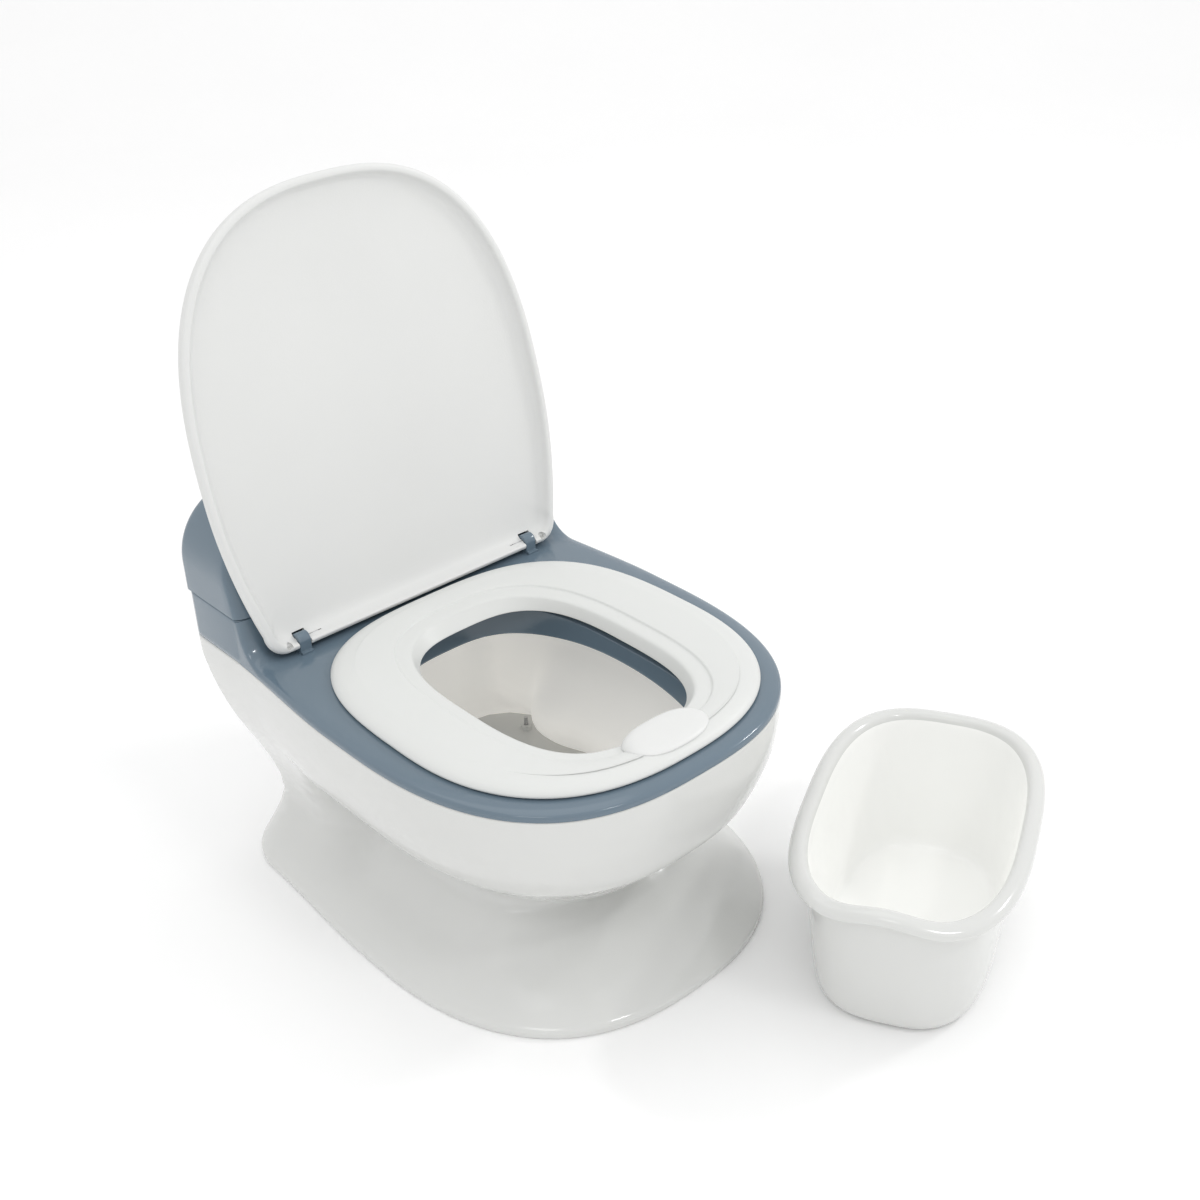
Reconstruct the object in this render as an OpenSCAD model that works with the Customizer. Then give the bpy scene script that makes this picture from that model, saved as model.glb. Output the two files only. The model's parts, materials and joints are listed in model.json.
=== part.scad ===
/* [Chair] */
// Half the width of the deck and bowl
deck_half = 144; // [138:1:152]
// Front edge of the deck, measured back from the lid hinge side of the origin
deck_front = -199; // [-206:1:-192]
// Back face of the tank and deck
deck_rear = 176; // [170:1:180]
// Height of the white body's top rim, where the deck sits on it
rim_z = 182; // [176:1:188]
// Wall thickness of the white body
shell_wall = 3; // [2.6:0.1:3.6]

/* [Tank] */
// Height of the seam between the deck's bin and the tank cover
seam_z = 217; // [210:1:224]
// Height of the tank's flat top at its two shoulders
tank_top = 286; // [280:1:300]
// Radius of the two top shoulders, seen from the front
shoulder_r = 47; // [40:1:52]

/* [Lid] */
// Lean of the opened lid, back from vertical
lid_lean = 13.5; // [12:0.5:16]
// Reach of the closed lid in front of the hinge
lid_reach = 295; // [280:1:300]
// Half the greatest width of the lid
lid_half = 141; // [132:0.5:143]
// Distance of each hinge post from the centre line
post_x = 100; // [97:0.5:102]

/* [Seat] */
// Half the greatest width of the seat ring
seat_half = 126; // [120:0.5:127]
// Half the width of the hole in the seat ring
hole_half = 70; // [66:1:72]

/* [Pot] */
// Half the width of the pot over its rim
pot_half = 77; // [74:0.5:78]
// Half the length of the pot over its rim
pot_half_len = 121; // [117:0.5:122]
// Height of the pot
pot_h = 108; // [100:1:112]
// Angle of the pot beside the chair, about the vertical
pot_turn = -62; // [-90:1:90]

/* [Hidden] */

GREY = [0.47, 0.56, 0.63];
WHITE = [0.95, 0.95, 0.94];
STEEL = [0.70, 0.70, 0.72];
RUBBER = [0.82, 0.82, 0.80];

eps = 0.01;

// Heights and places that follow from the driving sizes
deck_top = rim_z + 6;                      // flat upper face of the deck
pivot = [0, 88, deck_top + 8];             // axis of the lid hinge
lid_t = 11;                                // thickness of the lid over its rim
front_y = pivot[1] + 9;                    // tank's front face at deck level
rear_taper = 7;              // the deck's sides draw in by this towards the tank
tank_half = deck_half - rear_taper - 0.6;
well_y = -53;                              // middle of the well that the pot hangs in
ledge_z = deck_top - 12;                   // ledge that carries the pot's flange
pot_at = [145, -255];                      // middle of the pot beside the chair
waist_y = -20;                             // where the deck and bowl reach full width

// ---------- outlines ----------

// Powers of sine and cosine that trace a superellipse with exponent n
function sx(t, n) = pow(max(sin(t), 0), 2 / n);
function cx(t, n) = pow(max(cos(t), 0), 2 / n);

// Closed ring from its right half, which runs from front middle to back middle
function mirror_ring(h) =
    concat(h, [for (i = [len(h) - 2 : -1 : 1]) [-h[i][0], h[i][1]]]);

// The same for a half with no point on the middle plane
function mirror_open(h) =
    concat(h, [for (i = [len(h) - 1 : -1 : 0]) [-h[i][0], h[i][1]]]);

// Oval with its own exponent in front of and behind its widest point
function oval(a, front, mid, rear, nf, nr, steps) = let (turn = 90 / steps) mirror_ring(concat(
    [for (i = [0 : steps]) [a * sx(turn * i, nf), mid - (mid - front) * cx(turn * i, nf)]],
    [for (i = [steps - 1 : -1 : 0]) [a * sx(turn * i, nr), mid + (rear - mid) * cx(turn * i, nr)]]));

function at_z(ring, z) = [for (p = ring) [p[0], p[1], z]];

// ---------- lofts ----------

function side_faces(n, k, k2) = [for (i = [0 : n - 1])
    [k * n + i, k2 * n + i, k2 * n + (i + 1) % n, k * n + (i + 1) % n]];

// Solid skin through a list of rings, closed by a flat face at each end
module loft(rings) {
    n = len(rings[0]);
    last = len(rings) - 1;
    faces = concat(
        [[for (i = [0 : n - 1]) i]],
        [for (k = [0 : last - 1]) each side_faces(n, k, k + 1)],
        [[for (i = [n - 1 : -1 : 0]) last * n + i]]);
    polyhedron([for (r = rings) each r], faces, convexity = 6);
}

// Tube whose rings run up the outside and down the inside, and join up
module loop_loft(rings) {
    n = len(rings[0]);
    count = len(rings);
    polyhedron([for (r = rings) each r],
               [for (k = [0 : count - 1]) each side_faces(n, k, (k + 1) % count)],
               convexity = 8);
}

module slab(ring, z0, z1) {
    translate([0, 0, z0]) linear_extrude(z1 - z0) polygon(ring);
}

// ---------- white body ----------

// Height, half width, front edge, half width of the rear column, back face, back corner radius
stations = [
    [0, 141.5, -191.5, 135.5, 165, 50],
    [5, 142, -192, 136, 165, 50],
    [11, 136, -185, 131, 164, 48],
    [19, 124, -170, 121, 163, 42],
    [29, 108, -149, 110, 162, 34],
    [41, 95, -126, 103, 162, 28],
    [51, 87, -114, 103, 163, 26],
    [58, 85, -117, 104, 164, 26],
    [64, 86, -130, 105.5, 165, 25],
    [70, 89, -144, 107, 166, 24],
    [77, 95, -152, 109.5, 167, 23],
    [84, 102, -158.5, 112, 168, 22],
    [91, 110, -164.5, 115, 169, 21],
    [100, 120, -173, 119, 170, 20],
    [112, 130, -185, 124, 171.5, 19],
    [128, 137.5, -191, 129, 173, 17],
    [150, 142.5, -196, 134, 175, 15],
    [170, 144, -198.5, 136.7, 176, 14],
    [rim_z, deck_half, deck_front, deck_half - rear_taper, deck_rear, 14]];

groove = [52, 98];           // the pedestal's hollow side runs back between these two
groove_depth = 9;
side_steps = 8;

// Smooth step from 0 to 1 between lo and hi
function ease(v, lo, hi) = let (t = min(max((v - lo) / (hi - lo), 0), 1)) t * t * (3 - 2 * t);

// Depth of the groove at a height: full at the waist, none on the foot and the bowl
function groove_at(z) = groove_depth * ease(z, 14, 40) * (1 - ease(z, 62, 88));

// The sides draw in gently on the foot and the bowl, and over a short way at the pedestal
function gentle(z) = max(1 - ease(z, 14, 40), ease(z, 90, 150));

// Share of the way from the bowl's width in front to the column's width behind
function column_share(z, y) = let (w = gentle(z))
    ease(y, groove[0] + 6 - 63 * w, groove[1] + 22 * w);

// Half width of a station at y
function station_half(s, y) = s[1]
    + (s[3] - s[1]) * column_share(s[0], y)
    - groove_at(s[0]) * ease(y, 20, groove[0]) * (1 - ease(y, groove[0], groove[1] - 8));

function exponent(z) = 2.5 + 0.2 * ease(z, 110, 150);

// Ring of the body at a station, drawn in by d
function body_ring(s, d) = let (
    nf = exponent(s[0]), front = s[2] + d, rear = s[4] - d, r = max(s[5] - d, 4),
    side_end = rear - r)
    mirror_ring(concat(
        [for (i = [0 : 10]) [(s[1] - d) * sx(9 * i, nf), waist_y - (waist_y - front) * cx(9 * i, nf)]],
        [for (i = [1 : side_steps]) let (y = waist_y + (side_end - waist_y) * i / side_steps)
            [station_half(s, y) - d, y]],
        [for (i = [1 : 4]) [s[3] - d - r + r * cos(22.5 * i), side_end + r * sin(22.5 * i)]],
        [[0, rear]]));

// Slope of the body's side at station i, as [sideways, up] of unit length
function tangent(i) = let (
    lo = stations[max(i - 1, 0)], hi = stations[min(i + 1, len(stations) - 1)],
    v = [hi[1] - lo[1], hi[0] - lo[0]]) v / norm(v);

outer_rings = [for (s = stations) at_z(body_ring(s, 0), s[0])];

// Inner skin: each station moved one wall thickness along its own normal
inner_rings = [for (i = [0 : len(stations) - 1]) let (
    t = tangent(i), s = stations[i], ends = i == 0 || i == len(stations) - 1,
    drop = ends ? 0 : shell_wall * t[0])
    at_z(body_ring(s, ends ? shell_wall : max(shell_wall * t[1], 1.2)), max(s[0] + drop, eps * i))];

base_t = 2.5;
base_gap = 0.4;
base_boss_h = 7;             // height of the base plate's bosses, which meet the body's own
base_screw_at = [for (side = [-1, 1], y = [-120, 0, 120]) [side * (y < 0 ? 94 : y > 0 ? 113 : 118), y]];

// Solid that fills the foot of the body up to the middle of its wall
module foot_fill() {
    loft([for (i = [0 : 5]) at_z(body_ring(stations[i], shell_wall / 2), stations[i][0] + eps)]);
}

module body_shell() {
    color(WHITE) difference() {
        union() {
            loop_loft(concat(outer_rings, [for (i = [len(inner_rings) - 1 : -1 : 0]) inner_rings[i]]));
            // bosses that the base screws bite into
            intersection() {
                foot_fill();
                for (p = base_screw_at) translate([p[0], p[1], base_boss_h + 0.2])
                    cylinder(h = 30, r = 4.5, $fn = 24);
            }
        }
        for (p = base_screw_at) translate([p[0], p[1], base_boss_h]) cylinder(h = 8, r = 1.62, $fn = 24);
    }
}
pad_at = [for (sx = [-1, 1], y = [-95, 105]) [sx * 96, y]];
pad_r = 11;
pad_t = 1.2;

module base_plate() {
    inset = shell_wall + base_gap;
    color(WHITE) difference() {
        union() {
            slab(body_ring(stations[0], inset), 0, base_t);
            // bosses that the base screws run up into
            for (p = base_screw_at) translate([p[0], p[1], 0]) cylinder(h = base_boss_h, r = 4.5, $fn = 32);
        }
        for (p = base_screw_at) translate([p[0], p[1], -1]) {
            cylinder(h = 10, r = 1.9, $fn = 32);
            cylinder(h = 1 + 1.8, r = 3.6, $fn = 32);
        }
        for (p = pad_at) translate([p[0], p[1], -1]) cylinder(h = 1 + pad_t, r = pad_r + 0.05, $fn = 48);
    }
}

// Pan-head screws, heads recessed in the base plate
module base_screws() {
    color(STEEL) for (p = base_screw_at) translate([p[0], p[1], 0]) {
        translate([0, 0, 0.3]) difference() {
            cylinder(h = 1.5, r = 3.3, $fn = 32);
            for (a = [0, 90]) rotate([0, 0, a]) translate([-2, -0.4, -0.1]) cube([4, 0.8, 0.9]);
        }
        translate([0, 0, 1.8 - eps]) cylinder(h = 12, r = 1.6, $fn = 24);
    }
}

module grip_pads() {
    color(RUBBER) for (p = pad_at) translate([p[0], p[1], 0]) difference() {
        cylinder(h = pad_t, r = pad_r, $fn = 48);
        translate([0, 0, -0.1]) cylinder(h = 0.5, r = pad_r - 5, $fn = 48);
    }
}

// ---------- grey deck ----------

// Distance that the deck's rounded edge has come in, and its height above the rim
edge_steps = [[0, 0], [0.4, 1.6], [2.2, 3.4], [5, 4.7], [9, 5.6], [15, 6]];

rim_station = stations[len(stations) - 1];

function deck_ring(d) = body_ring(rim_station, d);

function well_ring(d) = oval(pot_half + d, well_y - pot_half_len - d, well_y,
                             well_y + pot_half_len + d, 3, 3, 12);

collar_in = -7;              // the collar's opening lies this far inside the pot's flange
skirt_low = [150, 161];      // lower edge of the collar at its back and its middle

// Lean of the tank's front face, the same as the opened lid's
function front_at(z) = front_y + (z - deck_top) * tan(lid_lean);

// Plan outline of the tank, drawn in by d, with its front face at y
function tank_ring(y, d) = let (
    a = tank_half - d, b = deck_rear - d, r = max(14 - d, 3), f = max(9 - d, 2))
    mirror_open(concat(
        [for (i = [0 : 4]) [a - f + f * sin(22.5 * i), y + d + f - f * cos(22.5 * i)]],
        [for (i = [0 : 4]) [a - r + r * cos(22.5 * i), b - r + r * sin(22.5 * i)]]));

module tank_prism(z0, z1, d) {
    loft([at_z(tank_ring(front_at(z0), d), z0), at_z(tank_ring(front_at(z1), d), z1)]);
}

bin_wall = 2.8;
post_foot = [9, 12];         // hinge post's size across and front to back

module post_slots() {
    for (s = [-1, 1]) translate([s * post_x - post_foot[0] / 2 - 0.1, pivot[1] - 8.1, deck_top - 5])
        cube([post_foot[0] + 0.2, post_foot[1] + 0.2, 6]);
}

module deck() {
    color(GREY) difference() {
        union() {
            difference() {
                loft([for (e = edge_steps) at_z(deck_ring(e[0]), rim_z + e[1])]);
                // hollow under the deck's plate
                slab(deck_ring(18), rim_z - 1, deck_top - 2.6);
            }
            // locating skirt that drops inside the body's rim
            difference() {
                slab(deck_ring(shell_wall + 0.3), rim_z - 8, rim_z + 1);
                slab(deck_ring(shell_wall + 2.8), rim_z - 9, rim_z + 2);
            }
            // walls of the well, and the collar below its ledge
            slab(well_ring(4), ledge_z - 2.5, deck_top - 1);
            slab(well_ring(collar_in + 2.5), skirt_low[0], ledge_z - 1);
            tank_prism(rim_z + 1.2, seam_z, 0);
            // pockets under the hinge posts
            for (s = [-1, 1]) translate([s * post_x - 7, pivot[1] - 10.5, deck_top - 7]) cube([14, 17, 6]);
        }
        slab(well_ring(1.6), ledge_z, deck_top + 1);
        slab(well_ring(collar_in), skirt_low[0] - 1, deck_top + 1);
        // the collar is deeper at the back than at the sides
        translate([-150, well_y, skirt_low[1]])
            rotate([-atan((skirt_low[1] - skirt_low[0]) / pot_half_len), 0, 0])
                translate([0, -260, -30]) cube([300, 400, 30]);
        // storage bin inside the tank
        tank_prism(deck_top + 2, seam_z + 1, bin_wall);
        post_slots();
    }
}

// ---------- lid hinge ----------

pin_r = 2;
pin_reach = 8.5;             // the pin stands out this far on each side of the post
post_top = 5.4;              // radius of the round head of the post

module hinge_post(s) {
    color(GREY) translate([s * post_x, pivot[1], 0]) difference() {
        union() {
            translate([-post_foot[0] / 2, -8, deck_top - 4.9]) cube([post_foot[0], post_foot[1], 6.5]);
            translate([-post_foot[0] / 2, -post_top, deck_top])
                cube([post_foot[0], 2 * post_top - 3, pivot[2] - deck_top]);
            translate([-post_foot[0] / 2, 0, pivot[2]]) rotate([0, 90, 0])
                cylinder(h = post_foot[0], r = post_top, $fn = 48);
        }
        translate([-20, 0, pivot[2]]) rotate([0, 90, 0]) cylinder(h = 40, r = pin_r, $fn = 32);
    }
}

module hinge_post_left() { hinge_post(-1); }
module hinge_post_right() { hinge_post(1); }

module hinge_pin(s) {
    color(STEEL) translate([s * post_x - post_foot[0] / 2 - pin_reach, pivot[1], pivot[2]])
        rotate([0, 90, 0]) cylinder(h = post_foot[0] + 2 * pin_reach, r = pin_r, $fn = 32);
}

module hinge_pin_left() { hinge_pin(-1); }
module hinge_pin_right() { hinge_pin(1); }

// ---------- lid ----------

back_edge = 6;               // the lid runs on this far behind the pivot

// Outline of the closed lid about the pivot, drawn in by d
function lid_ring(d) = let (
    a = lid_half - d, front = -lid_reach + d, mid = -112, r = 15, wall = 11, waist = 14.5)
    mirror_ring(concat(
        [for (i = [0 : 12]) [a * sx(7.5 * i, 2.57), mid - (mid - front) * cx(7.5 * i, 2.57)]],
        [for (i = [1 : 3]) [a - waist * pow(i / 3, 2), mid + (-10 - mid) * i / 3]],
        [for (i = [1 : 4]) [a - waist - r + r * cos(22.5 * i),
                            -10 + (10 + back_edge - min(d, wall)) * sin(22.5 * i)]],
        [[0, back_edge - min(d, wall)]]));

// Drawn-in distance and height of the lid's outer and inner skins
lid_outer = [[1.2, -5.5], [0, -4], [0, 1], [1.4, 3.4], [5, 5], [16, 6.2], [60, 7.2], [100, 7.6]];
lid_inner = [[100, 5.2], [60, 4.8], [22, 3.8], [10, 1.8], [6.4, -2], [5.2, -4.8], [4, -5.9]];
boss_r = 6.3;
post_gap = 0.5;

lid_low = [4, -5.9];         // the rim's lower face starts here

module lid_closed() {
    difference() {
        loft([for (p = concat([lid_low], lid_outer)) at_z(lid_ring(p[0]), p[1])]);
        loft([for (p = concat([lid_low - [0, 0.6]], [for (i = [len(lid_inner) - 1 : -1 : 0]) lid_inner[i]]))
              at_z(lid_ring(p[0]), p[1])]);
        // notches for the hinge posts
        for (s = [-1, 1]) translate([s * post_x - post_foot[0] / 2 - post_gap, -post_top - 1.6, -20])
            cube([post_foot[0] + 2 * post_gap, 30, 40]);
        // bores that turn on the pins
        for (s = [-1, 1]) translate([s * post_x - 16, 0, 0]) rotate([0, 90, 0])
            cylinder(h = 32, r = pin_r + 0.06, $fn = 32);
        // the back edge is rounded so that it clears the deck and tank as it turns
        difference() {
            translate([-lid_half, 0, -lid_t]) cube([2 * lid_half, 20, 2 * lid_t]);
            translate([-lid_half, 0, 0]) rotate([0, 90, 0]) cylinder(h = 2 * lid_half, r = boss_r, $fn = 64);
        }
    }
}

// Carries what is drawn on the closed lid to the opened one
module opened() {
    translate(pivot) rotate([-(90 + lid_lean), 0, 0]) children();
}

module lid() {
    color(WHITE) opened() lid_closed();
}

// ---------- seat ring ----------

seat_z = deck_top + 0.6;
seat_crown = deck_top + 9;
lip_z = deck_top - 5;

function seat_outer(d) = oval(seat_half - d, -188 + d, -58, 81 - d, 2.48, 3, 12);
function seat_hole(d) = oval(hole_half + d, -154 - d, -55, 44.5 + d, 3, 2.8, 12);

// Half way between two rings, by fraction f
function between(a, b, f) = [for (i = [0 : len(a) - 1]) a[i] * (1 - f) + b[i] * f];

module seat_ring() {
    step = seat_hole(9);
    crown = between(step, seat_outer(0), 0.62);
    color(WHITE) loop_loft([
        at_z(seat_outer(0.6), seat_z),
        at_z(seat_outer(0), seat_z + 1.8),
        at_z(seat_outer(2.2), seat_z + 4.6),
        at_z(seat_outer(6), seat_z + 6.8),
        at_z(seat_outer(11), seat_crown - 0.4),
        at_z(crown, seat_crown),
        at_z(between(step, crown, 0.3), seat_crown - 1),
        at_z(seat_hole(10), seat_crown - 2.2),
        at_z(seat_hole(9), seat_crown - 4.6),
        at_z(seat_hole(1.5), seat_crown - 5.8),
        at_z(seat_hole(-0.6), seat_crown - 7.4),
        at_z(seat_hole(-6.6), lip_z),
        at_z(seat_hole(-4.4), lip_z),
        at_z(seat_hole(1.6), seat_crown - 9),
        at_z(seat_hole(11), seat_crown - 7.2),
        at_z(seat_hole(12.6), seat_crown - 4.8),
        at_z(between(step, crown, 0.4), seat_crown - 3.4),
        at_z(crown, seat_crown - 2.6),
        at_z(seat_outer(9), seat_crown - 3.4),
        at_z(seat_outer(4.6), seat_z + 3),
        at_z(seat_outer(3), seat_z)]);
}

seat_pad_at = [[-106, -95], [106, -95], [-92, 34], [92, 34]];
seat_pad_top = seat_crown - 3.1;

module seat_bumpers() {
    color(RUBBER) for (p = seat_pad_at) translate([p[0], p[1], deck_top + 0.1])
        cylinder(h = seat_pad_top - deck_top - 0.1, r = 4, $fn = 32);
}

// Raised guard that hooks over the front of the seat ring's hole
guard_y = -166;

function guard_ring(w, l, n) = oval(w, guard_y - l, guard_y, guard_y + l, n, n, 8);

module splash_guard() {
    low = seat_crown + 0.2;
    color(WHITE) {
        loft([
            at_z(guard_ring(28, 14, 2.6), low),
            at_z(guard_ring(30.5, 16.5, 2.6), low + 0.3),
            at_z(guard_ring(30, 16, 2.6), low + 0.8),
            at_z(guard_ring(26, 13, 2.5), low + 1.2),
            at_z(guard_ring(15, 7, 2.3), low + 1.4)]);
        // hook that hangs in the hole, behind the ring's edge
        translate([-18, -151.4, seat_crown - 8.2]) cube([36, 1.8, 8.6]);
    }
}

// ---------- tank cover ----------

cover_z = seam_z + 0.6;
cover_wall = 2.6;
button_at = [0, 154];
button_r = 12;
button_travel = 3;
lip_in = bin_wall + 1.8;     // inset of the cover's lip, which lifts out along the leaning front

// Front view of the cover: straight sides, round shoulders and a slightly crowned top
function shoulder_profile(d) = let (a = tank_half - d, r = shoulder_r - d, top = tank_top - d)
    mirror_open(concat(
        [[a, cover_z - 1]],
        [for (i = [0 : 8]) [a - r + r * cos(11.25 * i), top - r + r * sin(11.25 * i)]],
        [[60, top + 2], [25, top + 3]]));

module cover_form(d, z0) {
    intersection() {
        tank_prism(z0, tank_top + 10, d);
        translate([0, 200, 0]) rotate([90, 0, 0]) linear_extrude(200) polygon(shoulder_profile(d));
    }
}

module tank_cover() {
    color(GREY) difference() {
        union() {
            cover_form(0, cover_z);
            // lip that drops into the bin
            tank_prism(seam_z - 4, cover_z + 1, lip_in);
        }
        cover_form(cover_wall, cover_z + 2.4);
        tank_prism(seam_z - 5, cover_z + 3, lip_in + 1.8);
        translate([button_at[0], button_at[1], tank_top - 10])
            cylinder(h = 30, r = button_r + 0.3, $fn = 64);
    }
}

// ---------- flush button and sound unit ----------

box_top = tank_top - 19;
box_front = button_at[1] - 13;
box_size = [70, deck_rear - cover_wall - 0.05 - box_front, 34];
box_low = box_top - box_size[2];
board_z = box_top - 9;
board_t = 1.2;
switch_h = 2.6;
button_top = tank_top + 5.5;
cap_h = 5;
flange_top = tank_top - 0.4;
flange_h = 1.6;
stem_low = board_z + board_t + switch_h + button_travel + 0.2;

module flush_button() {
    color(WHITE) translate([button_at[0], button_at[1], 0]) {
        rotate_extrude($fn = 64) polygon([[0, button_top - cap_h], [button_r - 0.1, button_top - cap_h],
            [button_r - 0.1, button_top - 1], [button_r - 1, button_top - 0.2], [button_r - 4, button_top],
            [0, button_top - 0.4]]);
        translate([0, 0, flange_top - eps])
            cylinder(h = button_top - cap_h - flange_top + 2 * eps, r = button_r - 2, $fn = 64);
        // flange that stops the button from leaving its hole
        translate([0, 0, flange_top - flange_h]) cylinder(h = flange_h, r = button_r + 2, $fn = 64);
        translate([0, 0, stem_low]) cylinder(h = flange_top - flange_h - stem_low + eps, r = 3, $fn = 32);
    }
}

// Spring under the button's flange, wound round the stem
module button_spring() {
    wire = 0.4;
    low = box_top + 0.1 + wire;
    high = flange_top - flange_h - 0.1 - wire;
    turns = 5;
    color(STEEL) translate([button_at[0], button_at[1], 0]) for (k = [0 : turns - 1])
        translate([0, 0, low + k * (high - low) / (turns - 1)])
            rotate_extrude($fn = 48) translate([5.4, 0]) circle(r = wire, $fn = 16);
}

module sound_box() {
    wall = 2;
    color([0.86, 0.87, 0.88]) translate([-box_size[0] / 2, box_front, box_low]) difference() {
        cube(box_size);
        translate([wall, wall, -1]) cube([box_size[0] - 2 * wall, box_size[1] - 2 * wall, box_size[2] - 1]);
        // hole that the button's stem presses through
        translate([box_size[0] / 2, button_at[1] - box_front, box_size[2] - 3])
            cylinder(h = 5, r = 3.6, $fn = 32);
        // sound slots in the front
        for (k = [-2 : 2]) translate([15 + 4 * k - 1, -1, 12]) cube([2, wall + 2, 14]);
    }
}

module battery_door() {
    gap = 2.2;
    color([0.86, 0.87, 0.88]) translate([gap - box_size[0] / 2, box_front + gap, box_low + 0.2])
        cube([box_size[0] - 2 * gap, box_size[1] - 2 * gap, 2]);
}

cell_r = 5.25;
cell_len = 44.5;

module batteries() {
    color([0.25, 0.45, 0.35]) for (s = [-1, 1])
        translate([-cell_len / 2 + 8, button_at[1] + s * (cell_r + 0.1), box_low + 8]) rotate([0, 90, 0]) {
            cylinder(h = cell_len - 1, r = cell_r, $fn = 48);
            translate([0, 0, cell_len - 1 - eps]) cylinder(h = 1, r = 1.8, $fn = 24);
        }
}

module circuit_board() {
    color([0.15, 0.4, 0.25]) translate([0, button_at[1], board_z]) {
        translate([-31, -10, 0]) cube([62, 20, board_t]);
        // push switch under the stem, and the sound chip
        translate([-3, -3, board_t - eps]) cube([6, 6, switch_h]);
        translate([14, -5, board_t - eps]) cube([10, 10, 1.4]);
    }
}

// Round speaker behind the sound slots
module speaker() {
    color([0.2, 0.2, 0.22]) translate([-20, box_front + 2.2, box_low + 17]) rotate([-90, 0, 0])
        cylinder(h = 4, r = 7, $fn = 48);
}

// ---------- pot ----------

hump = 6;                    // height of the wave in the pot's front rim
hump_half = 42;

// Wave in the front rim, weighted by w
function wave(p, w) = p[1] < 0 && abs(p[0]) < hump_half
    ? w * hump * pow(cos(90 * p[0] / hump_half), 2) : 0;

// The pot's two ends lean in more than its sides below the rim
function end_in(d) = d + 0.7 * max(d - 11, 0);

function pot_ring(d, z, w) = let (
    end = pot_half_len - end_in(d),
    ring = oval(pot_half - d, -end, 0, end, 2.95, 2.95, 14))
    [for (p = ring) [p[0], p[1], z + wave(p, w)]];

pot_wall = 2.2;

// Drawn-in distance, height and share of the wave, up the outside and down the inside
pot_steps = [
    [32, 0, 0], [24, 1.2, 0], [19.6, 5, 0], [17.9, 12, 0],
    [13.6, pot_h * 0.55, 0], [10.9, pot_h - 14, 0.3], [10.2, pot_h - 5.5, 0.8],
    [2.4, pot_h - 7, 1], [0.8, pot_h - 7.4, 1], [0, pot_h - 5.6, 1], [1, pot_h - 2.6, 1],
    [4, pot_h - 0.6, 1], [7.2, pot_h, 1], [10.4, pot_h - 1.2, 1],
    [12.4, pot_h - 6, 0.8], [13.2, pot_h - 15, 0.3], [13.6 + pot_wall, pot_h * 0.55, 0],
    [17.9 + pot_wall, 13, 0], [19.6 + pot_wall, 7, 0], [25, 3.4, 0], [32, 2.4, 0]];

module pot() {
    color(WHITE) translate([pot_at[0], pot_at[1], 0]) rotate([0, 0, pot_turn])
        loft([for (s = pot_steps) pot_ring(s[0], s[1], s[2])]);
}

body_shell();
base_plate();
base_screws();
grip_pads();
deck();
hinge_post_left();
hinge_post_right();
hinge_pin_left();
hinge_pin_right();
lid();
seat_ring();
seat_bumpers();
splash_guard();
tank_cover();
flush_button();
button_spring();
sound_box();
battery_door();
batteries();
circuit_board();
speaker();
pot();
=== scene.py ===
import json
import math

import bmesh
import bpy
import numpy as np
from mathutils import Matrix, Vector


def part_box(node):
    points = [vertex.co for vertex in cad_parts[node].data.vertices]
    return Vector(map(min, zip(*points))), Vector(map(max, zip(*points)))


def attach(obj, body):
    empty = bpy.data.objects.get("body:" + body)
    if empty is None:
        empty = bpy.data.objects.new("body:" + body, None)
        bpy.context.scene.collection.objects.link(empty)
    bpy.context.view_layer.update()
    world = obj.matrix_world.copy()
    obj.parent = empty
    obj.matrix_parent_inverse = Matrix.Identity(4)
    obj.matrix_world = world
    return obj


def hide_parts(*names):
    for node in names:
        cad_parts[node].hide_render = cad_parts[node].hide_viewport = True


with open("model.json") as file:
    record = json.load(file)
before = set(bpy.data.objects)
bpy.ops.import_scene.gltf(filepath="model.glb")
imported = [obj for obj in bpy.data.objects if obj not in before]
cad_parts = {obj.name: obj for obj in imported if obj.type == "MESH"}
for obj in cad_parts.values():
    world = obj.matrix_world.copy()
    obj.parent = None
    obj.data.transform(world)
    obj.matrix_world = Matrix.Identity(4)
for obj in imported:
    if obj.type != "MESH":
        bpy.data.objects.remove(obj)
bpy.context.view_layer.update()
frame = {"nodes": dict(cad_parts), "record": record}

# Looks of a toilet-shaped potty training chair. Shapes are worked out in millimetres and built in metres.
# X runs across the chair, Y from its front to its back, and Z up from the floor.

MM = 0.001


def mm_box(node):
    """Lowest and highest corner of a CAD node, in millimetres."""
    low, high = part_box(node)
    return np.array(low) / MM, np.array(high) / MM


# ---------- sizes read from the frame ----------

body_high = mm_box("body_shell")[1]
deck_low, deck_high = mm_box("deck")
cover_low, cover_high = mm_box("tank_cover")
ring_low, ring_high = mm_box("seat_ring")
post_low, post_high = mm_box("hinge_post_right")
pin_low, pin_high = mm_box("hinge_pin_right")
button_low, button_high = mm_box("flush_button")
pot_low, pot_high = mm_box("pot")

DECK_HALF = deck_high[0]
DECK_FRONT = deck_low[1]
DECK_REAR = deck_high[1]
RIM_Z = body_high[2]
DECK_TOP = RIM_Z + 6
SEAM_Z = deck_high[2]
TANK_TOP = cover_high[2] - 3
PIVOT = (pin_low + pin_high) / 2 * np.array([0, 1, 1])
POST_X = (post_low[0] + post_high[0]) / 2
POST_HALF = (post_high[0] - post_low[0]) / 2
POT_AT = (pot_low + pot_high) / 2
POT_H = pot_high[2] - 6

# ---------- sizes chosen for the looks ----------

LEAN = math.radians(13.5)
FRONT_Y = PIVOT[1] + 9
TAPER = 7
WAIST_Y = -20
WELL_Y = -53
POT_HALF = np.array([77, 121])
POT_TURN = math.radians(-62)
SHELL_WALL = 3


# ---------- curves and lofts ----------


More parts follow.
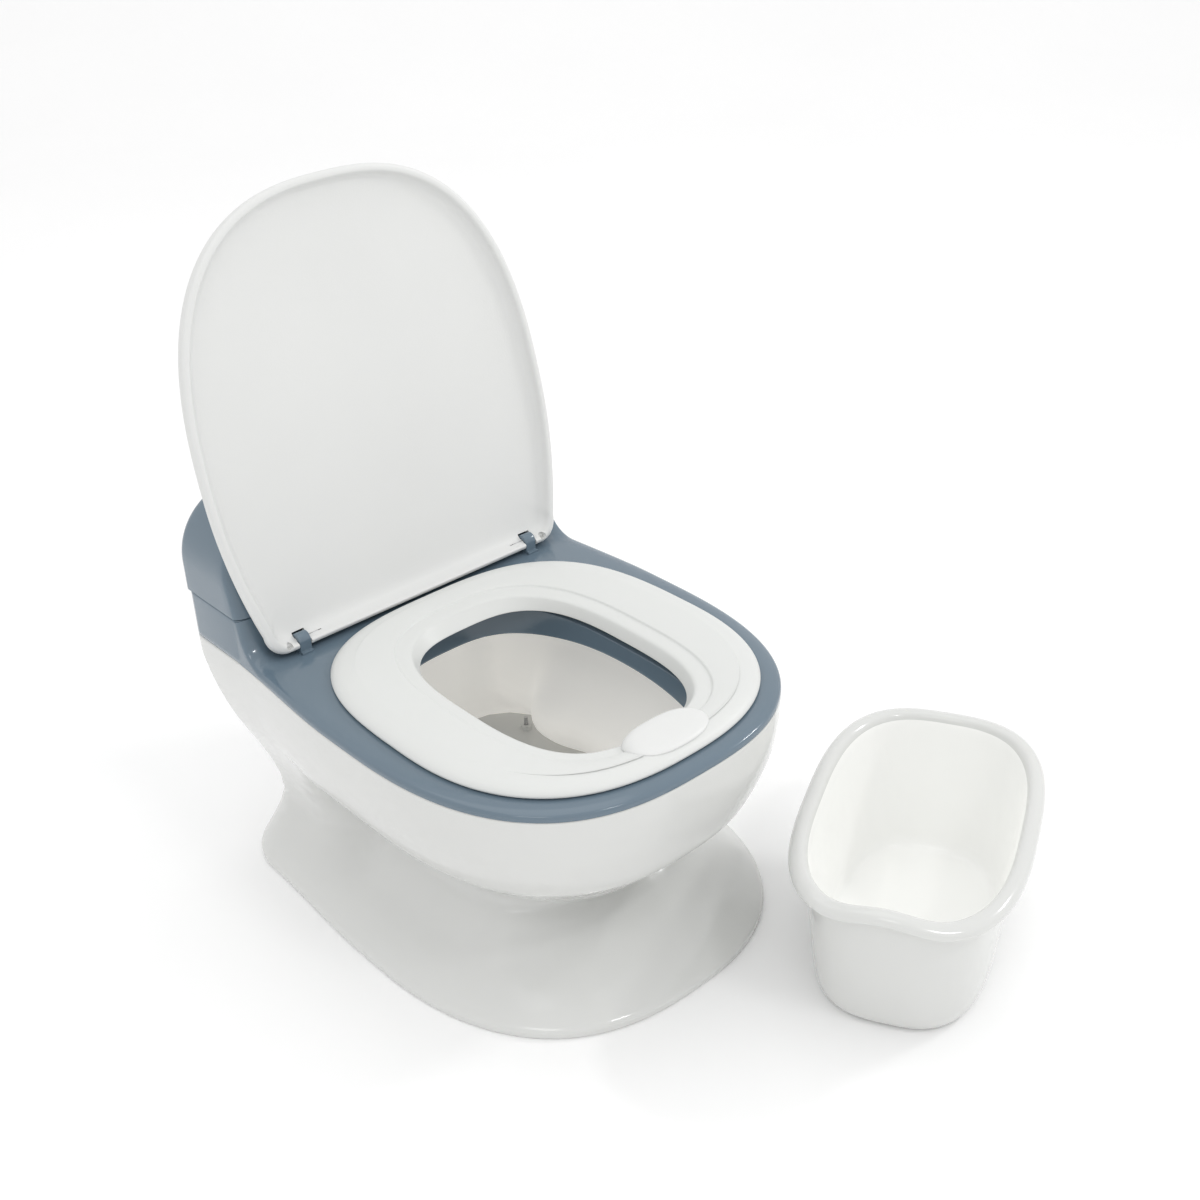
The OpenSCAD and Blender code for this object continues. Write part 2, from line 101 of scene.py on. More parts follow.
def ease(v, low, high):
    """Smooth step from 0 to 1 between low and high."""
    t = np.clip((np.asarray(v, float) - low) / (high - low), 0, 1)
    return t * t * (3 - 2 * t)


def through(xs, rows, x):
    """Rows of values at xs, interpolated at x by a cubic that doesn't overshoot."""
    xs, rows, x = np.asarray(xs, float), np.asarray(rows, float), np.asarray(x, float)
    step = np.diff(xs)[:, None]
    slope = np.diff(rows, axis=0) / step
    before, after = slope[:-1], slope[1:]
    turn = before * after > 0
    inner = np.where(turn, 2 * before * after / np.where(turn, before + after, 1), 0)
    tangent = np.vstack([slope[:1], inner, slope[-1:]])
    k = np.clip(np.searchsorted(xs, x, side="right") - 1, 0, len(xs) - 2)
    h = step[k]
    t = ((x - xs[k])[:, None]) / h
    return (
        rows[k] * (1 + 2 * t) * (1 - t) ** 2
        + tangent[k] * h * t * (1 - t) ** 2
        + rows[k + 1] * t * t * (3 - 2 * t)
        + tangent[k + 1] * h * t * t * (t - 1)
    )


def even_angles(a, b, n, count):
    """Angles at which a quarter of a superellipse has evenly spaced points."""
    t = np.linspace(0, math.pi / 2, 4001)
    x = a * np.sin(t) ** (2 / n)
    y = b * np.cos(t) ** (2 / n)
    length = np.concatenate([[0], np.cumsum(np.hypot(np.diff(x), np.diff(y)))])
    return np.interp(np.linspace(0, length[-1], count), length, t)


def quarter(a, b, n, t):
    """Quarter of a superellipse from (0, b) to (a, 0)."""
    return np.stack([a * np.sin(t) ** (2 / n), b * np.abs(np.cos(t)) ** (2 / n)], 1)


def mirrored(half):
    """Closed ring from its right half, which runs from front middle to back middle."""
    return np.vstack([half, half[-2:0:-1] * [-1, 1]])


OVAL_T = even_angles(1, 1.3, 2.9, 65)


def oval(a, front, middle, rear, nf, nr):
    """Oval with its own exponent in front of and behind its widest point."""
    fore = quarter(a, front - middle, nf, OVAL_T) + [0, middle]
    aft = quarter(a, rear - middle, nr, OVAL_T)[::-1] + [0, middle]
    return mirrored(np.vstack([fore, aft[1:]]))


def at_z(ring, z):
    """Flat ring lifted to a height, or to a height for each point."""
    return np.column_stack([ring, np.broadcast_to(z, len(ring))])


def soften(rings, times=3, closed=False):
    """Cuts the corners of a stack of rings, as a B-spline does."""
    rings = np.asarray(rings, float)
    for _ in range(times):
        following = np.roll(rings, -1, axis=0) if closed else rings[1:]
        first = rings if closed else rings[:-1]
        cut = np.stack([first * 0.75 + following * 0.25, first * 0.25 + following * 0.75], 1)
        cut = cut.reshape(-1, *rings.shape[1:])
        rings = cut if closed else np.concatenate([rings[:1], cut, rings[-1:]])
    return rings


def grid_mesh(name, rings, loop=False, caps=(False, False), slots=None):
    """Mesh of quads over a stack of rings. slots gives each row of faces its material index."""
    rings = np.asarray(rings, float)
    count, n = rings.shape[:2]
    rows = count if loop else count - 1
    k = np.arange(rows)[:, None]
    i = np.arange(n)[None, :]
    k2, i2 = (k + 1) % count, (i + 1) % n
    quads = np.stack([k * n + i, k * n + i2, k2 * n + i2, k2 * n + i], -1).reshape(-1, 4)
    faces = [tuple(q) for q in quads]
    if caps[0]:
        faces.append(tuple(range(n - 1, -1, -1)))
    if caps[1]:
        faces.append(tuple((count - 1) * n + j for j in range(n)))
    mesh = bpy.data.meshes.new(name)
    mesh.from_pydata(rings.reshape(-1, 3) * MM, [], faces)
    if slots is not None:
        index = np.repeat(np.asarray(slots), n)
        index = np.concatenate([index, [slots[0]] * caps[0], [slots[-1]] * caps[1]]).astype(int)
        mesh.polygons.foreach_set("material_index", index)
    mesh.update()
    return mesh


def tidy(mesh):
    """Welds a mesh, turns its faces outwards and shades it smooth."""
    bm = bmesh.new()
    bm.from_mesh(mesh)
    bmesh.ops.remove_doubles(bm, verts=bm.verts, dist=1e-6)
    bmesh.ops.recalc_face_normals(bm, faces=bm.faces)
    bm.to_mesh(mesh)
    bm.free()
    mesh.shade_smooth()


def placed(name, data):
    """Object for a mesh, a light or a camera, linked to the scene."""
    o = bpy.data.objects.new(name, data)
    bpy.context.scene.collection.objects.link(o)
    return o


def piece(name, mesh, body, materials, replaced, sharp=None):
    """Object for a finished mesh, which rides on a body and stands for a CAD node."""
    tidy(mesh)
    if sharp is not None:
        mesh.set_sharp_from_angle(angle=math.radians(sharp))
    o = placed(name, mesh)
    for m in materials:
        mesh.materials.append(m)
    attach(o, body)
    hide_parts(replaced)
    return o


def baked(o):
    """Mesh of an object with its modifiers applied. The object itself is removed."""
    bpy.context.view_layer.update()
    made = bpy.data.meshes.new_from_object(o.evaluated_get(bpy.context.evaluated_depsgraph_get()))
    made.materials.clear()
    bpy.data.objects.remove(o)
    return made


def thickened(mesh, thickness):
    """A sheet given thickness on its inner side."""
    o = placed("thin", mesh)
    wall = o.modifiers.new("wall", "SOLIDIFY")
    wall.thickness = thickness
    wall.offset = -1
    return baked(o)


def add_box(bm, size, place):
    bmesh.ops.create_cube(bm, size=1, matrix=place @ Matrix.Diagonal((*size, 1)))


def add_cylinder(bm, radius, depth, place):
    bmesh.ops.create_cone(
        bm, cap_ends=True, segments=48, radius1=radius, radius2=radius, depth=depth, matrix=place)


def cut_away(mesh, bm):
    """The mesh with the shapes in bm cut out of it."""
    shapes = bpy.data.meshes.new("cutter")
    bm.to_mesh(shapes)
    bm.free()
    tool = placed("cutter", shapes)
    o = placed("uncut", mesh)
    cut = o.modifiers.new("cut", "BOOLEAN")
    cut.operation = "DIFFERENCE"
    cut.solver = "MANIFOLD"
    cut.object = tool
    made = baked(o)
    bpy.data.objects.remove(tool)
    return made


# ---------- materials ----------


# Sockets of a mix node that mixes colours
MIX_FACTOR, MIX_A, MIX_B, MIX_COLOUR = 0, 6, 7, 2


class Nodes:
    """Short way to build a node tree."""

    def __init__(self, name):
        self.material = bpy.data.materials.new(name)
        self.material.use_nodes = True
        self.tree = self.material.node_tree
        self.shader = self.tree.nodes["Principled BSDF"]

    def add(self, kind, inputs=None, **settings):
        """New node. An input takes either a socket to link or a value."""
        node = self.tree.nodes.new(kind)
        for key, value in settings.items():
            setattr(node, key, value)
        for key, value in (inputs or {}).items():
            if isinstance(value, bpy.types.NodeSocket):
                self.tree.links.new(value, node.inputs[key])
            else:
                node.inputs[key].default_value = value
        return node

    def set(self, **values):
        for key, value in values.items():
            self.shader.inputs[key.replace("_", " ")].default_value = value

    def link(self, socket, name):
        self.tree.links.new(socket, self.shader.inputs[name])

    def noise(self, place, scale, detail, roughness):
        """Value of a noise texture."""
        inputs = {"Vector": place, "Scale": scale, "Detail": detail, "Roughness": roughness}
        return self.add("ShaderNodeTexNoise", inputs).outputs["Fac"]

    def ranged(self, value, low, high, from_low=0.3, from_high=0.7):
        """A texture's value carried onto low to high."""
        source = {"Value": value, "From Min": from_low, "From Max": from_high}
        return self.add("ShaderNodeMapRange", source | {"To Min": low, "To Max": high}).outputs["Result"]

    def mixed(self, factor, first, second, blend="MIX"):
        """Two colours mixed."""
        inputs = {MIX_FACTOR: factor, MIX_A: first, MIX_B: second}
        return self.add("ShaderNodeMix", inputs, data_type="RGBA", blend_type=blend).outputs[MIX_COLOUR]

    def toned(self, value, dark, light):
        """Colour that runs from dark to light with a texture's value."""
        tone = self.add("ShaderNodeValToRGB", {"Fac": value})
        tone.color_ramp.elements[0].color = dark
        tone.color_ramp.elements[1].color = light
        return tone.outputs["Color"]

    def bump(self, height, strength, distance):
        inputs = {"Strength": strength, "Distance": distance, "Height": height}
        self.link(self.add("ShaderNodeBump", inputs).outputs["Normal"], "Normal")


def plastic(name, colour, roughness, grain, depth, swirl=0.012, scuff=0.06, coat=0, glow=0, through=0):
    """
    Moulded plastic: flow marks in the colour, smudged gloss, fine surface grain and rubbed edges.

    glow is the share of light that scatters under the surface, and through the strength of a painted
    glow: an even emission that stands in for light coming through a thin wall from behind.
    """
    t = Nodes(name)
    place = t.add("ShaderNodeTexCoord").outputs["Object"]
    flow = t.ranged(t.noise(place, 9, 3, 0.45), 1 - swirl, 1 + swirl)
    body = t.mixed(1.0, (*colour, 1), flow, "MULTIPLY")
    edge = t.add("ShaderNodeNewGeometry").outputs["Pointiness"]
    rub = t.ranged(edge, 0, scuff, 0.53, 0.62)
    paler = tuple(min(1, c * 1.12 + 0.02) for c in colour)
    t.link(t.mixed(rub, body, (*paler, 1)), "Base Color")
    smudge = t.noise(place, 38, 5, 0.6)
    t.link(t.ranged(smudge, roughness * 0.86, roughness * 1.16), "Roughness")
    t.bump(t.noise(place, grain, 2, 0.5), depth, 0.0002)
    t.set(IOR=1.49, Coat_Weight=coat, Coat_Roughness=0.06)
    # Painted light: an even, warm emission glow stands in for light coming through the thin wall.
    if through:
        t.set(Emission_Color=(1.0, 0.985, 0.95, 1), Emission_Strength=through)
    if glow:
        t.set(Subsurface_Weight=glow, Subsurface_Radius=(0.004, 0.004, 0.0036), Subsurface_Scale=1.0)
    return t.material


WHITE = (0.665, 0.67, 0.655)
SATIN = (0.69, 0.70, 0.685)
SLATE = (0.125, 0.175, 0.220)

white_gloss = plastic("white_gloss", WHITE, 0.13, 420, 0.05, coat=0.25, glow=0.08)
# Inside of the body shell: the same white plastic, painted paler than the outside and given an emission
# glow, as painted light against the shade in the hollow.
white_inside_painted_light = plastic("white_inside_painted_light", (0.80, 0.785, 0.75), 0.42, 300, 0.25, swirl=0.03, through=0.27)
# Inside of the pot: the pot's white plastic, painted paler and given an emission glow, as painted light for
# its brighter inside.
pot_inside_painted_light = plastic("pot_inside_painted_light", (0.80, 0.805, 0.79), 0.2, 420, 0.05, coat=0.25, through=0.12)
white_satin = plastic("white_satin", SATIN, 0.42, 900, 0.22, glow=0.08)
white_soft = plastic("white_soft", (0.72, 0.725, 0.715), 0.38, 900, 0.20, glow=0.08)
white_lid = plastic("white_lid", (0.70, 0.705, 0.695), 0.42, 900, 0.22, glow=0.08)
grey_gloss = plastic("grey_gloss", SLATE, 0.14, 380, 0.05, swirl=0.03, scuff=0.25, coat=0.35)
# The emission glow here is painted light: it brightens pale parts that sit in the shade inside the body,
# such as the base plate.
pale_plastic = plastic("pale_plastic", (0.72, 0.725, 0.72), 0.45, 700, 0.3, through=0.15)
rubber = plastic("rubber", (0.62, 0.62, 0.59), 0.62, 1100, 0.4, swirl=0.04)
battery_wrap = plastic("battery_wrap", (0.04, 0.15, 0.09), 0.25, 500, 0.05)
board_green = plastic("board_green", (0.02, 0.11, 0.05), 0.35, 900, 0.2)
speaker_black = plastic("speaker_black", (0.02, 0.02, 0.022), 0.7, 1500, 0.5)


def brushed_steel():
    """Zinc-plated steel with fine drawn lines."""
    t = Nodes("steel")
    place = t.add("ShaderNodeTexCoord").outputs["Object"]
    drawn = t.add("ShaderNodeMapping", {"Vector": place, "Scale": (40, 900, 900)})
    lines = t.noise(drawn.outputs["Vector"], 1.0, 3, 0.6)
    t.link(t.ranged(lines, 0.22, 0.38), "Roughness")
    t.link(t.toned(t.noise(place, 120, 3, 0.5), (0.46, 0.46, 0.47, 1), (0.62, 0.62, 0.64, 1)), "Base Color")
    t.bump(lines, 0.15, 0.0001)
    t.set(Metallic=1.0)
    return t.material


steel = brushed_steel()


# ---------- white body ----------

# Height, half width, front edge, half width of the rear column, back face, back corner radius
STATIONS = np.array([
    [0, 141.5, -191.5, 135.5, 165, 50],
    [5, 142, -192, 136, 165, 50],
    [11, 136, -185, 131, 164, 48],
    [19, 124, -170, 121, 163, 42],
    [29, 108, -149, 110, 162, 34],
    [41, 95, -126, 103, 162, 28],
    [51, 87, -114, 103, 163, 26],
    [58, 85, -117, 104, 164, 26],
    [64, 86, -130, 105.5, 165, 25],
    [70, 89, -144, 107, 166, 24],
    [77, 95, -152, 109.5, 167, 23],
    [84, 102, -158.5, 112, 168, 22],
    [91, 110, -164.5, 115, 169, 21],
    [100, 120, -173, 119, 170, 20],
    [112, 130, -185, 124, 171.5, 19],
    [128, 137.5, -191, 129, 173, 17],
    [150, 142.5, -196, 134, 175, 15],
    [170, 144, -198.5, 136.7, 176, 14],
    [182, 144, -199, 137, 176, 14]])

BOWL_T = even_angles(1, 1.25, 2.6, 72)
SIDE_SHARE = np.linspace(0, 1, 56)[1:]
CORNER_T = np.linspace(0, math.pi / 2, 15)[1:]
REAR_SHARE = np.linspace(1, 0, 14)[1:]
GROOVE = (52, 98)
GROOVE_DEPTH = 9


def groove_at(z):
    """Depth of the hollow in the pedestal's side at a height."""
    return GROOVE_DEPTH * ease(z, 14, 40) * (1 - ease(z, 62, 88))


def column_share(z, y):
    """Share of the way from the bowl's width in front to the column's width behind."""
    gentle = max(1 - ease(z, 14, 40), ease(z, 90, 150))
    return ease(y, GROOVE[0] + 6 - 63 * gentle, GROOVE[1] + 22 * gentle)


def body_half_width(z, half, column, y):
    """Half width at y, from the bowl in front to the column behind."""
    hollow = groove_at(z) * ease(y, 20, GROOVE[0]) * (1 - ease(y, GROOVE[0], GROOVE[1] - 8))
    return half + (column - half) * column_share(z, y) - hollow


def bowl_ring(z, half, front, column, rear, radius):
    """Outline of the body at a height."""
    side_end = rear - radius
    bow = quarter(half, front - WAIST_Y, 2.5 + 0.2 * ease(z, 110, 150), BOWL_T) + [0, WAIST_Y]
    y = WAIST_Y + (side_end - WAIST_Y) * SIDE_SHARE
    side = np.stack([body_half_width(z, half, column, y), y], 1)
    corner = [column - radius, side_end] + radius * np.stack([np.cos(CORNER_T), np.sin(CORNER_T)], 1)
    back = np.stack([(column - radius) * REAR_SHARE, np.full(len(REAR_SHARE), rear)], 1)
    return mirrored(np.vstack([bow, side, corner, back]))


def offset_inwards(rings, distance):
    """The same stack of rings, moved inwards along the surface normal."""
    around = np.roll(rings, -1, axis=1) - np.roll(rings, 1, axis=1)
    up = np.gradient(rings, axis=0)
    normal = np.cross(around, up)
    normal /= np.linalg.norm(normal, axis=2, keepdims=True)
    middle = rings.mean(axis=1, keepdims=True)
    outwards = np.sign(((rings - middle) * normal).sum(axis=(1, 2), keepdims=True))
    return rings - normal * outwards * distance


def body_shell():
    """Bowl, pedestal and foot in one wall, open underneath and on top."""
    levels = STATIONS[:, 0]
    heights = np.unique(np.concatenate([np.linspace(a, b, 7) for a, b in zip(levels[:-1], levels[1:])]))
    values = through(levels, STATIONS[:, 1:], heights)
    outer = np.array([at_z(bowl_ring(z, *v), z) for z, v in zip(heights, values)])
    inner = offset_inwards(outer, SHELL_WALL)
    inner[:, :, 2] = np.clip(inner[:, :, 2], 0, RIM_Z)
    foot = at_z(bowl_ring(0, *(values[0] - [1, -1, 1, 1, 1])), 0)
    brim = at_z(bowl_ring(RIM_Z, *(values[-1] - [0.9, -0.9, 0.9, 0.9, 0.9])), RIM_Z)
    outer[0, :, 2] = 0.9
    outer[-1, :, 2] = RIM_Z - 0.9
    rings = np.concatenate([foot[None], outer, brim[None], inner[::-1]])
    # The inner rows take the inside material, which carries painted light.
    slots = (np.arange(len(rings)) >= len(outer) + 2).astype(int)
    mesh = grid_mesh("body_shell", rings, loop=True, slots=slots)
    o = piece("body", mesh, "chair", [white_gloss, white_inside_painted_light], "body_shell", sharp=60)
    return o


# ---------- grey deck, with the lower half of the tank ----------

FILLET_SMALL = 5
FILLET_LARGE = 24
RISE = math.pi / 2 - LEAN
SLANT = (SEAM_Z - DECK_TOP) / math.sin(RISE)


def rise_curve(radius, s):
    """Points (y, z) and upward normals on the deck's top, which turns up into the tank's face."""
    tangent = radius * math.tan(RISE / 2)
    flat_end = FRONT_Y - tangent
    arc_end = flat_end + radius * RISE
    turn = np.clip((s - flat_end) / radius, 0, RISE)
    y = np.minimum(s, flat_end) + radius * np.sin(turn)
    z = DECK_TOP + radius * (1 - np.cos(turn))
    along = np.maximum(s - arc_end, 0)
    y = y + along * math.cos(RISE)
    z = z + along * math.sin(RISE)
    end = arc_end + SLANT - tangent
    return y, z, turn, end


def on_deck(x, s, h):
    """Point at height h over the deck's top surface, for a place (x, s) on it laid out flat."""
    x, s = np.asarray(x, float), np.asarray(s, float)
    weight = ease(np.abs(x), 112, 128)
    ends = [rise_curve(r, np.zeros(1))[3] for r in (FILLET_SMALL, FILLET_LARGE)]
    share = np.clip(s - PIVOT[1] + 30, 0, None) / (ends[0] - PIVOT[1] + 30)
    stretched = np.where(share > 0, s + share * (ends[1] - ends[0]), s)
    small = rise_curve(FILLET_SMALL, s)
    large = rise_curve(FILLET_LARGE, stretched)
    y = small[0] * (1 - weight) + large[0] * weight
    z = small[1] * (1 - weight) + large[1] * weight
    turn = small[2] * (1 - weight) + large[2] * weight
    return np.stack([x, y - h * np.sin(turn), z + h * np.cos(turn)], -1)


DECK_SIDE = np.linspace(0, 1, 90)[1:]


def flat_deck_ring(inset, back):
    """Outline of the deck laid out flat, drawn in by inset, with its rear edge at back."""
    half = DECK_HALF - inset
    bow = quarter(half, DECK_FRONT + inset - WAIST_Y, 2.7, BOWL_T) + [0, WAIST_Y]
    y = WAIST_Y + (back - WAIST_Y) * DECK_SIDE
    side = np.stack([half - TAPER * ease(y, -5, 120), y], 1)
    rear = np.stack([(half - TAPER) * REAR_SHARE, np.full(len(REAR_SHARE), back)], 1)
    return mirrored(np.vstack([bow, side, rear]))


def well_ring(inset, n):
    """Outline of the well that the pot hangs in, with n points."""
    half = POT_HALF - inset
    ring = oval(half[0], WELL_Y - half[1], WELL_Y, WELL_Y + half[1], 3, 3)
    closed = np.vstack([ring, ring[:1]])
    length = np.concatenate([[0], np.cumsum(np.linalg.norm(np.diff(closed, axis=0), axis=1))])
    want = np.linspace(0, length[-1], n + 1)[:-1]
    return np.stack([np.interp(want, length, closed[:, k]) for k in (0, 1)], 1)


def deck_sheet():
    """Top of the deck, its rounded edge and skirt, and the well."""
    back = rise_curve(FILLET_SMALL, np.zeros(1))[3]
    n = len(flat_deck_ring(0, back))
    edge = soften([[0, -5.7], [0, -3.4], [1.0, -1.6], [4.4, -0.5], [9, 0], [13, 0], [15, 0]])
    rings = []
    for inset, drop in edge:
        ring = flat_deck_ring(inset, back)
        rings.append(on_deck(ring[:, 0], ring[:, 1], np.full(n, drop)))
    skirt = rings[0].copy()
    skirt[:, 2] = RIM_Z + 0.15
    last = flat_deck_ring(15, back)
    well = well_ring(-1.6, n)
    for f in np.linspace(0, 1, 26)[1:]:
        ring = last * (1 - f) + well * f
        rings.append(on_deck(ring[:, 0], ring[:, 1], np.zeros(n)))
    ledge = RIM_Z - 6
    throat = well_ring(7, n)
    collar = 158.5 + 4.5 * np.cos(np.pi * np.clip((throat[:, 1] - WELL_Y) / POT_HALF[1], -1, 1))
    rings += [at_z(well_ring(-1.2, n), DECK_TOP - 0.5), at_z(well_ring(-1.2, n), ledge + 0.6),
              at_z(well_ring(-0.8, n), ledge), at_z(well_ring(6.2, n), ledge), at_z(throat, ledge - 0.8),
              at_z(throat, collar + 0.8), at_z(well_ring(7.8, n), collar), at_z(well_ring(5.2, n), collar),
              at_z(well_ring(4.6, n), collar + 0.8), at_z(well_ring(4.6, n), ledge - 2.6),
              at_z(well_ring(-4, n), ledge - 2.6), at_z(well_ring(-4, n), DECK_TOP - 2.6)]
    return np.concatenate([skirt[None], np.array(rings)])


BACK_RADIUS = 14


def tank_ring(y, inset, front_round=(15, 6)):
    """Plan outline of the tank with its front face at y."""
    half, rear = DECK_HALF - TAPER - 0.03 - inset, DECK_REAR - inset
    radius = max(BACK_RADIUS - inset, 3)
    wide, deep = np.maximum(np.array(front_round) - inset, 2)
    t = np.linspace(0, math.pi / 2, 15)
    fore = np.stack([half - wide + wide * np.sin(t), y + inset + deep - deep * np.cos(t)], 1)
    aft = np.stack([half - radius + radius * np.cos(t), rear - radius + radius * np.sin(t)], 1)
    face = np.stack([np.linspace(0, half - wide, 20)[:-1], np.full(19, y + inset)], 1)
    back = np.stack([np.linspace(half - radius, 0, 20)[1:], np.full(19, rear)], 1)
    return mirrored(np.vstack([face, fore, aft, back]))


def front_at(z):
    """Where the tank's leaning front face is at a height."""
    return FRONT_Y + (z - DECK_TOP) * math.tan(LEAN)


def tank_bin():
    """Lower half of the tank: walls, rounded brim and floor."""
    outer = [(RIM_Z + 0.15, 0.4), (RIM_Z + 0.5, 0.02)]
    outer += [(z, 0.02) for z in np.linspace(RIM_Z + 4, SEAM_Z - 1.2, 8)]
    brim = [(SEAM_Z - 0.5, 0.12), (SEAM_Z - 0.1, 0.5), (SEAM_Z, 1.0), (SEAM_Z, 2.1), (SEAM_Z - 0.6, 2.8)]
    inner = [(z, 2.8) for z in np.linspace(SEAM_Z - 3, DECK_TOP + 5, 5)]
    inner += [(DECK_TOP + 2.4, 4.5), (DECK_TOP + 2, 8)]
    return [at_z(tank_ring(front_at(z) + 0.05, d), z) for z, d in outer + brim + inner]


def deck():
    """Deck's sheet and the tank's lower half, as one piece."""
    sheet = grid_mesh("deck_sheet", deck_sheet())
    store = grid_mesh("deck_bin", tank_bin(), caps=(False, True))
    joined = bmesh.new()
    joined.from_mesh(sheet)
    joined.from_mesh(store)
    mesh = bpy.data.meshes.new("deck")
    joined.to_mesh(mesh)
    joined.free()
    o = piece("deck_top", mesh, "chair", [grey_gloss], "deck", sharp=50)
    return o


# ---------- tank cover ----------

SHOULDER_R = 47
COVER_Z = cover_low[2] + 4.6
EDGE_WIDE, EDGE_DEEP = 15, 6


def cover_outline(inset):
    """Front view of the cover: (x, z) from the lower left corner, over the top, to the lower right one."""
    half, radius, top = DECK_HALF - TAPER - 0.03 - inset, SHOULDER_R - inset, TANK_TOP - inset
    t = np.linspace(0, math.pi / 2, 36)
    side = np.stack([np.full(12, half), np.linspace(COVER_Z, top - radius, 12)], 1)[:-1]
    shoulder = np.stack([half - radius + radius * np.cos(t), top - radius + radius * np.sin(t)], 1)
    across = np.stack([np.linspace(half - radius, 0, 24)[1:], np.full(23, top)], 1)
    half_line = np.vstack([side, shoulder, across])
    half_line[:, 1] += 3 * np.cos(np.pi / 2 * np.clip(half_line[:, 0] / (half - radius + 12), -1, 1)) ** 2
    return np.vstack([half_line * [-1, 1], half_line[-2::-1]])


def tank_cover():
    """Shell with a leaning front, round shoulders and edges, open underneath."""
    t = np.linspace(0, math.pi / 2, 12)
    front = [(EDGE_WIDE * (1 - math.sin(a)), EDGE_DEEP * (1 - math.cos(a))) for a in t]
    rear = [(8 * (1 - math.cos(a)), 8 * math.sin(a)) for a in t]
    rows = []
    for inset, back in [(EDGE_WIDE + 1.2, 0)] + front:
        line = cover_outline(inset)
        rows.append(np.stack([line[:, 0], front_at(line[:, 1]) + back, line[:, 1]], 1))
    start = rows[-1]
    for f in np.linspace(0, 1, 9)[1:-1]:
        row = start.copy()
        row[:, 1] = start[:, 1] * (1 - f) + (DECK_REAR - 8) * f
        rows.append(row)
    for inset, back in rear + [(9, 8)]:
        line = cover_outline(inset)
        rows.append(np.stack([line[:, 0], np.full(len(line), DECK_REAR - 8 + back), line[:, 1]], 1))
    rows = np.array(rows)
    rows[:, :, 2] = np.maximum(rows[:, :, 2], COVER_Z)
    count, n = rows.shape[:2]
    faces = [(k * n + i, k * n + i + 1, (k + 1) * n + i + 1, (k + 1) * n + i)
             for k in range(count - 1) for i in range(n - 1)]
    faces.append(tuple(range(n)))
    faces.append(tuple((count - 1) * n + i for i in range(n - 1, -1, -1)))
    mesh = bpy.data.meshes.new("tank_cover")
    mesh.from_pydata(rows.reshape(-1, 3) * MM, [], faces)
    tidy(mesh)
    button = (button_low + button_high) / 2
    hole = bmesh.new()
    add_cylinder(hole, 12.3 * MM, 20 * MM, Matrix.Translation(Vector((*button[:2], TANK_TOP)) * MM))
    mesh = cut_away(thickened(mesh, 2.6 * MM), hole)
    o = piece("tank_lid", mesh, "cover", [grey_gloss], "tank_cover", sharp=40)
    return o


# ---------- lid ----------

LID_HALF = 141
LID_REACH = 295
LID_WAIST = 14.5
LID_T = even_angles(1, 1.25, 2.57, 72)


def lid_ring(inset, back):
    """Outline of the closed lid about its hinge, with its rear edge at back."""
    half, middle, radius = LID_HALF - inset, -112, 15
    side_end = back - 16.5
    bow = quarter(half, -LID_REACH + inset - middle, 2.57, LID_T) + [0, middle]
    share = np.linspace(0, 1, 34)[1:]
    side = np.stack([half - LID_WAIST * share**2, middle + (side_end - middle) * share], 1)
    foot = half - LID_WAIST - radius
    corner = np.stack([foot + radius * np.cos(CORNER_T), side_end + 16.5 * np.sin(CORNER_T)], 1)
    rear = np.stack([foot * REAR_SHARE, np.full(len(REAR_SHARE), back)], 1)
    return mirrored(np.vstack([bow, side, corner, rear]))


# Distance drawn in, height, and rear edge of the lid's skins, from the middle inside to the middle outside
LID_ROWS = [
    (100, 5.2, -85), (60, 4.8, -46), (26, 4.2, -14), (11, 2.4, -4.6), (6.8, -1.6, -1.2),
    (5.4, -5.0, 0.4), (4, -5.9, 1.6), (1.6, -5.7, 2.6), (0, -4.4, 4.4), (0, 1, 6),
    (1.4, 3.6, 5), (5, 5.2, 3.2), (16, 6.2, -1), (60, 7.2, -45), (100, 7.6, -85)]


def opened(points):
    """Carries points drawn on the closed lid to the opened one."""
    c, s = math.cos(math.pi / 2 + LEAN), math.sin(math.pi / 2 + LEAN)
    turn = np.array([[1, 0, 0], [0, c, s], [0, -s, c]])
    return points @ turn.T + PIVOT


def lid():
    """Lid with a notch, a bore and a round window for each hinge post and its pin."""
    rings = soften([at_z(lid_ring(d, back), z) for d, z, back in LID_ROWS])
    mesh = grid_mesh("lid", rings, caps=(True, True))
    tidy(mesh)
    gap = POST_HALF + 0.5
    across = Matrix.Rotation(math.pi / 2, 4, "Y")
    shapes = bmesh.new()
    for side in (-1, 1):
        notch = Matrix.Translation(Vector((side * POST_X, 7.4, 0)) * MM)
        bore = Matrix.Translation(Vector((side * POST_X, 0, 0)) * MM) @ across
        window = Matrix.Translation(Vector((side * (POST_X + 12), 0, -5)) * MM)
        add_box(shapes, (2 * gap * MM, 27 * MM, 40 * MM), notch)
        add_cylinder(shapes, 2.06 * MM, 32 * MM, bore)
        add_cylinder(shapes, 2.6 * MM, 7 * MM, window)
    mesh = cut_away(mesh, shapes)
    co = np.array([v.co for v in mesh.vertices]) / MM
    mesh.vertices.foreach_set("co", (opened(co) * MM).ravel())
    o = piece("lid_shell", mesh, "lid", [white_lid], "lid", sharp=55)
    return o


# ---------- seat ring and splash guard ----------

SEAT_HALF = ring_high[0]
SEAT_FRONT = ring_low[1]
SEAT_REAR = ring_high[1]
SEAT_CROWN = ring_high[2]
SEAT_LOW = DECK_TOP + 0.6


def seat_outer(d):
    """Outline of the seat ring, drawn in by d."""
    return oval(SEAT_HALF - d, SEAT_FRONT + d, -58, SEAT_REAR - d, 2.48, 3)


